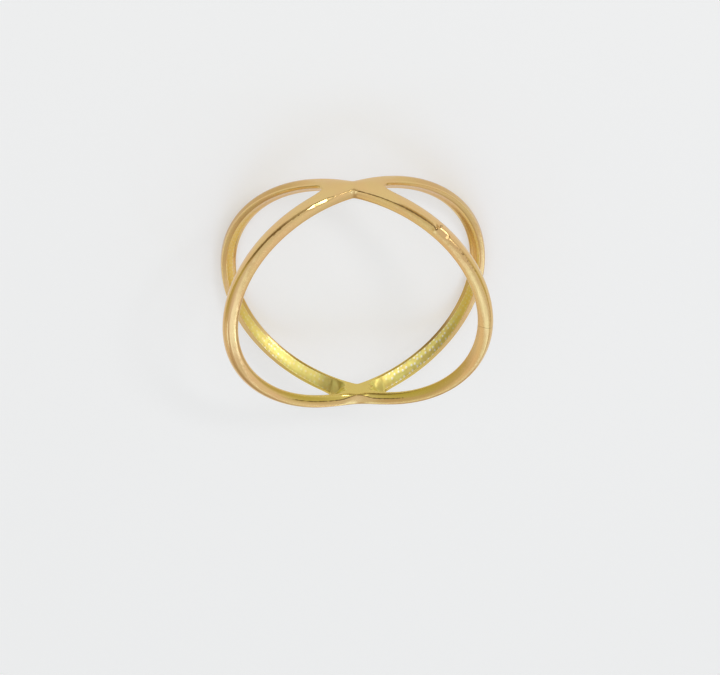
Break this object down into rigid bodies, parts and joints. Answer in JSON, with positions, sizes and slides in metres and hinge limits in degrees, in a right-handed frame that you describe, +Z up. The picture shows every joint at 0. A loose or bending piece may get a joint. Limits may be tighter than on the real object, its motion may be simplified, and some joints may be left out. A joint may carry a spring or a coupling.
{
  "type": "crossover ring",
  "caption": "Slim polished gold finger ring whose thin strands part and cross on opposite sides, leaving a lens-shaped open window on each flank.",
  "frame": {"origin": "on the surface that the ring lies on, under the middle of the finger hole", "axes": "+Z up along the finger's axis; the strands cross at -Y and at +Y; the side windows open at -X and at +X"},
  "size_m": [0.0194, 0.0194, 0.0088],
  "materials": {
    "gold": "polished yellow gold outside, satin as cast inside"
  },
  "bodies": {
    "root": {"band": "gold"}
  },
  "joints": []
}
